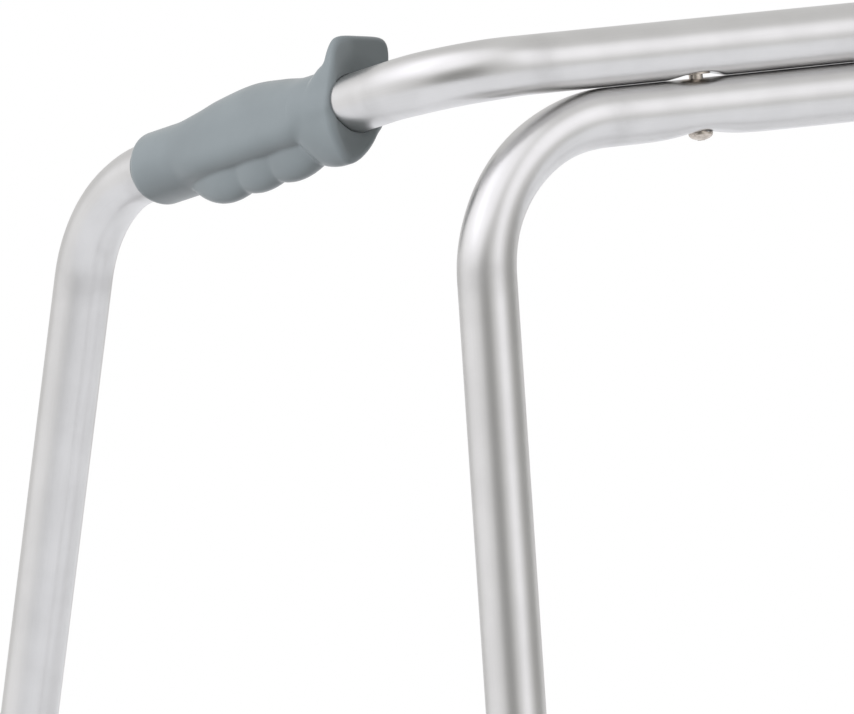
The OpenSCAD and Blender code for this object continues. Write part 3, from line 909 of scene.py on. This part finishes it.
@dataclass
class HandGrip:
    """A moulded sleeve with a palm swell, finger ribs and a hand stop at its front end.

    Lines along the grip are (distance from the front face, value) in millimetres.
    """

    layout: Layout
    paints: Paintbox
    side: Side
    start: float = 19 * MM
    length: float = 142 * MM
    corner_bend: float = 51 * MM
    turn: float = math.radians(20)
    bore: float = 12.75 * MM
    lip: float = 0.5 * MM
    rim: float = 3.5 * MM
    rear_rim: float = 6 * MM
    inner_growth: float = 1.9 * MM
    outer_cut: float = 0.8 * MM
    crown: float = 2.6 * MM
    stop_slant: float = 0.24
    top_line: tuple = ((0, 30.8), (4, 30.7), (5.5, 28.6), (7, 23), (10, 19.4), (16, 17.5), (27, 17.2),
                       (45, 20), (66, 22.4), (87, 20.6), (101, 17.8), (116, 15.9), (142, 15.9))
    half_line: tuple = ((0, 14.6), (12, 14.9), (30, 16), (70, 16.4), (100, 16.2), (118, 15.9),
                        (142, 15.9))
    palm_foot_line: tuple = ((0, 15.6), (30, 15.9), (98, 15.9), (112, 15.9), (142, 15.9))
    stop_foot_line: tuple = ((0, 26.8), (8, 26.6), (16, 25.2), (26, 20), (34, 4), (142, 4))
    ribs: tuple = (83.5 * MM, 61.5 * MM, 38.5 * MM)
    rib_foot: float = 26.6 * MM
    rib_half: float = 11.0 * MM
    rib_arch: float = 34 * MM
    rib_blend: float = 0.7 * MM
    foot_top: float = 12 * MM
    foot_gap: float = 0.2 * MM
    foot_blend: float = 1.2 * MM
    foot_power: tuple[float, float] = (1.72, 0.2)
    stop_fade: tuple[float, float] = (6 * MM, 18 * MM)
    palm_rise: tuple[float, float] = (18 * MM, 34 * MM)
    palm_fall: tuple[float, float] = (92 * MM, 112 * MM)
    round_power: float = 2.2
    stop_power: float = 4.8
    palm_power: float = 1.6
    segments: int = 160

    def axes(self) -> Axes:
        """Frame with its origin at the grip's front face, X up the hand stop and Z to the rear."""
        front, rear = self.layout.front_corner(self.side), self.layout.rear_corner(self.side)
        ahead = unit(rear - front)
        bend = math.acos(float(ahead[0] * self.side.value))
        trim = self.corner_bend * math.tan(bend / 2)
        level = Axes.along(front + ahead * (trim + self.start), ahead, np.array([0, 0, 1.0]))
        outward = level.y * (1 if level.y[0] * self.side.value > 0 else -1)
        x = math.cos(self.turn) * level.x - math.sin(self.turn) * outward
        y = math.cos(self.turn) * outward + math.sin(self.turn) * level.x
        return Axes(level.origin, x, y, level.z)

    def build(self) -> None:
        """Makes the grip."""
        axes = self.axes()
        s = self._rows()
        angle = np.linspace(0, 2 * math.pi, self.segments, endpoint=False)
        reach = self._skin(s[:, None], angle[None])
        lip = self.lip
        hole = np.array([[self.bore + lip], [self.bore], [self.bore], [self.bore + lip]])
        hole_z = np.array([self.length, self.length - lip, lip, 0])[:, None]
        reach = np.concatenate([reach, np.broadcast_to(hole, (4, self.segments))])
        z = np.concatenate([s[:, None], hole_z]) + 0 * reach
        out = reach * np.sin(angle)
        z = z + self.crown * smooth(out, 4 * MM, 16 * MM) * np.exp(-z / (8 * MM))
        verts = axes.at(reach * np.cos(angle), out, z)
        thing = make_mesh(f"hand_grip_{self.side.name.lower()}", verts.reshape(-1, 3),
                          grid_quads(len(z), self.segments, close_rows=True))
        weld(thing, 1e-7)
        sharpen(thing, 60)
        self.paints.paint(thing, VINYL)
        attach(thing, "frame")
        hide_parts(f"grip_{self.side.name.lower()}")
        log.info("%s: %d faces", thing.name, len(thing.data.polygons))

    def _rows(self) -> np.ndarray:
        """Distances of the rings from the front face, closer at both rims and behind the stop."""
        turn = 1 - np.cos(np.linspace(0, math.pi / 2, 12))
        behind = np.arange(8 * MM, 16 * MM, 0.25 * MM)
        middle = np.arange(self.rim, self.length - self.rear_rim, 0.6 * MM)
        ends = self.rim * turn, self.length - self.rear_rim * turn
        return np.unique(np.round(np.concatenate([*ends, behind, middle]), 6))

    def _skin(self, s: np.ndarray, angle: np.ndarray) -> np.ndarray:
        """Distance of the outer skin from the axis.

        The palm's section is a superellipse whose height follows the top line; at the stop it
        squares up, its top slants and it moves inwards. The finger ribs and the foot of the stop
        are ovals that reach below the axis. The skin is the largest of them, with small fillets
        where they meet, less the quarter rounds of the two rims.

        Args:
            s: distances from the front face, as a column.
            angle: angles from the top towards the outer side, as a row.

        Returns:
            Array of distances.
        """
        cos, sin = np.cos(angle), np.sin(angle)
        stop = 1 - smooth(s, *self.stop_fade)
        lean = np.abs(cos + self.stop_slant * stop * sin * np.clip(cos, 0, 1))
        inner = smooth(-sin, -0.3, 0.7)
        shift = inner * self.inner_growth - (1 - inner) * self.outer_cut
        half = flow(self.half_line, s) + stop * shift
        under = smooth(-cos, -0.5, 0.6)
        palm = smooth(s, *self.palm_rise) * (1 - smooth(s, *self.palm_fall))
        above = self.round_power + self.stop_power * stop
        below = self.round_power + self.palm_power * palm
        square = above * (1 - under) + below * under
        tall = np.where(cos > 0, flow(self.top_line, s), flow(self.palm_foot_line, s))
        skin = self._oval(lean, np.abs(sin), tall, half, square)
        for centre in self.ribs:
            fall = np.minimum((s - centre) ** 2 / (2 * self.rib_arch), self.rib_foot / 2)
            wide = self.rib_half - fall / 3
            tall = np.where(cos < 0, self.rib_foot - fall, wide)
            skin = soft_max(skin, self._oval(np.abs(cos), np.abs(sin), tall, wide, 2.0), self.rib_blend)
        tall = flow(self.stop_foot_line, s)
        wide = np.minimum(tall, half - self.foot_gap)
        tall = np.where(cos < 0, tall, np.minimum(tall, self.foot_top))
        power = self.foot_power[0] + self.foot_power[1] * sin
        foot = self._oval(np.abs(cos), np.abs(sin), tall, wide, power)
        skin = soft_max(skin, foot, self.foot_blend)
        for rim, near in ((self.rim, s), (self.rear_rim, self.length - s)):
            left = np.clip(rim - near, 0, None)
            skin = skin - (rim - np.sqrt(np.clip(rim ** 2 - left ** 2, 0, None)))
        return skin

    @staticmethod
    def _oval(up: np.ndarray, out: np.ndarray, tall: np.ndarray, wide: np.ndarray,
              square: np.ndarray) -> np.ndarray:
        """Distance to a superellipse in the direction (up, out)."""
        return ((up / tall) ** square + (out / wide) ** square) ** (-1 / square)


@dataclass
class Feet:
    """Bushes and rubber ferrules of the four legs."""

    layout: Layout
    paints: Paintbox
    tube: float = 12.7 * MM
    inner: float = 11.1 * MM
    ferrule: float = 19 * MM
    height: float = 45 * MM
    collar: float = 14.4 * MM

    def build(self) -> None:
        """Makes the bush and ferrule of each leg."""
        for leg in self.layout.legs.values():
            self._bush(leg)
            self._ferrule(leg)

    def _bush(self, leg: Leg) -> None:
        """Collar on the end of the outer tube, with two grip rings."""
        e = self.layout.outer_end
        r, bore = self.tube + 0.05 * MM, self.inner + 0.15 * MM
        outer = self.collar
        profile = rounded([
            (bore, e - 3 * MM, 0.3 * MM), (outer - 0.6 * MM, e - 3 * MM, 1.2 * MM),
            (outer, e + 1 * MM, 0.8 * MM), (outer, e + 4 * MM, 0.4 * MM),
            (outer - 0.5 * MM, e + 4.8 * MM, 0.3 * MM), (outer - 0.5 * MM, e + 6 * MM, 0.3 * MM),
            (outer, e + 6.8 * MM, 0.4 * MM), (outer, e + 12 * MM, 0.4 * MM),
            (outer - 0.5 * MM, e + 12.8 * MM, 0.3 * MM), (outer - 0.5 * MM, e + 14 * MM, 0.3 * MM),
            (outer, e + 14.8 * MM, 0.4 * MM), (outer, e + 16.6 * MM, 0.8 * MM),
            (r, e + 16.6 * MM, 0.3 * MM), (r, e, 0.2 * MM), (bore, e, 0.2 * MM)])
        thing = turned(f"collar_{leg.tag}", leg.axes, profile)
        self._place(thing, GREY_PLASTIC, "frame", f"leg_bush_{leg.tag}")

    def _ferrule(self, leg: Leg) -> None:
        """Rubber foot with a flared base, a waist, ribs and a flat grooved sole.

        Below the tread the profile is carried straight down the leg to the floor, so each
        column of points ends on the plane of the floor.
        """
        r, h = self.ferrule, self.height
        bore = self.inner + 0.02 * MM
        seat = 12.5 * MM
        profile = rounded([
            (0.02 * MM, -1.0, 0), (6.8 * MM, -1.0, 0), (7 * MM, -2.0, 0), (9 * MM, -2.0, 0),
            (9.2 * MM, -1.0, 0), (11.8 * MM, -1.0, 0), (12 * MM, -2.0, 0), (14 * MM, -2.0, 0),
            (14.2 * MM, -1.0, 0), (r - 1.0 * MM, -1.0, 0), (r, -3.0, 0),
            (r, 14 * MM, 1.6 * MM), (16.4 * MM, 16.2 * MM, 1.2 * MM), (15.2 * MM, 20 * MM, 1.5 * MM),
            (14.9 * MM, 24 * MM, 0.5 * MM), (15.7 * MM, 24.8 * MM, 0.4 * MM),
            (15.6 * MM, 26.6 * MM, 0.4 * MM), (14.7 * MM, 27.4 * MM, 0.4 * MM),
            (14.5 * MM, 30 * MM, 0.4 * MM), (15.3 * MM, 30.8 * MM, 0.4 * MM),
            (15.2 * MM, 32.6 * MM, 0.4 * MM), (14.3 * MM, 33.4 * MM, 0.4 * MM),
            (14.0 * MM, 38.6 * MM, 0.6 * MM), (14.6 * MM, 39.8 * MM, 0.6 * MM),
            (14.6 * MM, h - 1 * MM, 1.2 * MM), (bore + 1.0 * MM, h, 0.6 * MM),
            (bore, h - 1.5 * MM, 0.4 * MM),
            (bore, seat, 0.5 * MM), (0.02 * MM, seat, 0)])
        axes = leg.axes

        def stand(local: np.ndarray, angle: np.ndarray) -> np.ndarray:
            """Puts the marked rows of the profile on the floor, or just above it in a groove."""
            row = local[..., 2]
            lift = np.where(row < -2.5, 1.0 * MM, np.where(row < -1.5, 1.5 * MM, 0.0))
            tilt = (local[..., 0] * axes.x[2] + local[..., 1] * axes.y[2]) / axes.z[2]
            out = local.copy()
            out[..., 2] = np.where(row < -0.5, lift / axes.z[2] - tilt, row)
            return out

        thing = turned(f"rubber_foot_{leg.tag}", axes, profile, segments=96, shape=stand)
        weld(thing, 3e-5)
        sharpen(thing, 50)
        self._place(thing, RUBBER, f"foot_{leg.tag}", f"ferrule_{leg.tag}")

    def _place(self, thing: bpy.types.Object, finish: Finish, body: str, node: str) -> None:
        """Paints a piece, attaches it to its body and hides the node it replaces."""
        self.paints.paint(thing, finish)
        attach(thing, body)
        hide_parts(node)
        log.info("%s: %d faces", thing.name, len(thing.data.polygons))


@dataclass
class Hardware:
    """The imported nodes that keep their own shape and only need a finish."""

    nodes: dict[str, bpy.types.Object]
    paints: Paintbox
    finishes: dict[str, Finish] = field(default_factory=lambda: {
        "rail_screws": ZINC, "rail_rivet_nuts": ZINC, "brace_bolts": ZINC, "brace_nuts": ZINC,
        "brace_saddles": DARK_PLASTIC, "brace_end_caps": DARK_PLASTIC, "leg_extension": BRIGHT_TUBE,
        "ferrule_washer": ZINC, "snap_button": ZINC, "clip_spring": SPRING_STEEL})

    def build(self) -> None:
        """Paints each node by the start of its name."""
        for name, thing in self.nodes.items():
            for start, finish in self.finishes.items():
                if name.startswith(start):
                    self.paints.paint(thing, finish)
                    log.info("%s: %s", name, finish.name)


# ---------------------------------------------------------------- studio


@dataclass(frozen=True)
class Patch:
    """A soft-edged part of the studio walls that is brighter or darker than the rest.

    Angles are in degrees; the azimuth is counted from the camera's own, to its right. A tall
    patch is stretched upwards and downwards by its stretch.
    """

    azimuth: float
    elevation: float
    gain: float
    inner: float
    outer: float
    stretch: float = 1.0

    def seen(self, graph: Graph, ahead: Wire, camera_azimuth: float) -> Wire:
        """How much of the patch lies in a direction.

        Args:
            graph: the world's node tree.
            ahead: the direction.
            camera_azimuth: the camera's azimuth in radians.

        Returns:
            1 inside the inner angle from the patch's middle, 0 beyond the outer angle.
        """
        squash = {0: ahead, 1: (1.0, 1.0, 1 / self.stretch)}
        squashed = graph.wire("ShaderNodeVectorMath", 0, {"operation": "MULTIPLY"}, squash)
        level = graph.wire("ShaderNodeVectorMath", 0, {"operation": "NORMALIZE"}, {0: squashed})
        middle = toward(math.radians(self.azimuth) + camera_azimuth, math.radians(self.elevation))
        middle = unit(middle / np.array([1, 1, self.stretch])).tolist()
        nearness = graph.wire("ShaderNodeVectorMath", "Value", {"operation": "DOT_PRODUCT"},
                              {0: level, 1: middle})
        low = math.cos(math.radians(self.outer))
        return nearness.above(low, math.cos(math.radians(self.inner)) - low)


@dataclass
class Studio:
    """Pale floor, soft light all round and the camera."""

    layout: Layout
    wall_light: float = 0.78
    patches: tuple = (
        Patch(-88, 10, 0.24, 12, 45, 2.0), Patch(-13, 1, -0.50, 8, 32, 1.15),
        Patch(48, 32, 0.68, 6, 30, 1.5), Patch(102, 3, -0.34, 8, 32, 1.8),
        Patch(-92, 44, 0.30, 12, 42), Patch(-38, 51, 0.62, 14, 44))
    key_azimuth: float = -72
    key_elevation: float = 32
    key_strength: float = 3.5
    key_spread: float = math.radians(35)
    key_colour: tuple = (0.90, 0.93, 1.0)
    azimuth: float = math.radians(-27.98)
    elevation: float = math.radians(2.875)
    roll: float = math.radians(-4.957)
    distance: float = 4.6533
    across: float = 7.937 * MM
    above: float = 119.32 * MM
    lens: float = 466.95
    sensor: float = 36
    view_reach: float = 100
    floor_grey: float = 0.66
    floor_radii: tuple = (1e-4, 1.0, 2.0, 3.2)
    floor_sides: int = 96

    def build(self) -> None:
        """Makes the floor, the world and the camera."""
        self._floor()
        self._world()
        self._key_light()
        self._camera()
        bpy.context.scene.view_settings.view_transform = "Standard"

    def _camera(self) -> None:
        """Places the camera so that the front corner on the user's right is at its place in view."""
        back = toward(self.azimuth, self.elevation)
        right = np.array([math.cos(self.azimuth), math.sin(self.azimuth), 0])
        up = np.cross(back, right)
        cos, sin = math.cos(self.roll), math.sin(self.roll)
        x = cos * right + sin * up
        y = -sin * right + cos * up
        corner = self.layout.front_corner(Side.RIGHT)
        place = corner - (self.across * x + self.above * y) + self.distance * back
        camera = bpy.data.objects.new("camera", bpy.data.cameras.new("camera"))
        camera.data.lens = self.lens
        camera.data.sensor_width = self.sensor
        camera.data.clip_end = self.view_reach
        place_on(camera, Axes(place, x, y, back))
        bpy.context.scene.camera = camera

    def _floor(self) -> None:
        """A round pale floor."""
        angle = np.linspace(0, 2 * math.pi, self.floor_sides, endpoint=False)
        radii = np.array(self.floor_radii)[:, None]
        rings = np.stack([radii * np.cos(angle), radii * np.sin(angle), 0 * radii * angle], -1)
        floor = make_mesh("floor", rings.reshape(-1, 3), grid_quads(len(radii), self.floor_sides))
        material = bpy.data.materials.new("pale_floor")
        material.use_nodes = True
        graph = Graph(material.node_tree)
        shader = graph.wire("ShaderNodeBsdfPrincipled", 0, None, {
            "Base Color": (*[self.floor_grey] * 3, 1), "Roughness": 0.9, "Specular IOR Level": 0.1})
        graph.node("ShaderNodeOutputMaterial", None, {"Surface": shader})
        floor.data.materials.append(material)

    def _key_light(self) -> None:
        """A broad cool light from the user's right that mirror-like surfaces do not show."""
        back = toward(math.radians(self.key_azimuth) + self.azimuth, math.radians(self.key_elevation))
        light = bpy.data.lights.new("key", "SUN")
        light.energy = self.key_strength
        light.angle = self.key_spread
        light.color = self.key_colour
        thing = bpy.data.objects.new("key", light)
        thing.visible_glossy = False
        place_on(thing, Axes.along(2 * back, back, np.array([0, 0, 1.0])))

    def _world(self) -> None:
        """White to the camera; as a light, pale walls with softer and darker parts."""
        world = bpy.data.worlds.new("studio")
        world.use_nodes = True
        bpy.context.scene.world = world
        graph = Graph(world.node_tree)
        ahead = graph.wire("ShaderNodeTexCoord", "Generated")
        light = graph.wire("ShaderNodeValue")
        light.socket.default_value = self.wall_light
        for patch in self.patches:
            light = light + patch.seen(graph, ahead, self.azimuth) * patch.gain
        blue = (light * 0.06 + 0.94) * light
        tinted = graph.wire("ShaderNodeCombineColor", 0, None, {0: light, 1: light * 0.995, 2: blue})
        seen = graph.wire("ShaderNodeLightPath", "Is Camera Ray")
        colour = mix_colour(graph, seen, tinted, (1.0, 1.0, 1.0, 1))
        shader = graph.wire("ShaderNodeBackground", 0, None, {"Color": colour, "Strength": 1.0})
        graph.node("ShaderNodeOutputWorld", None, {"Surface": shader})


def main() -> None:
    """Builds the studio and every piece."""
    logging.basicConfig(level=logging.INFO, format="%(message)s")
    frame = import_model()
    layout = Layout(frame["record"])
    paints = Paintbox()
    Studio(layout).build()
    Rails(layout, paints).build()
    for side in Side:
        HandGrip(layout, paints, side).build()
    Feet(layout, paints).build()
    Hardware(frame["nodes"], paints).build()


if __name__ == "__main__":
    main()
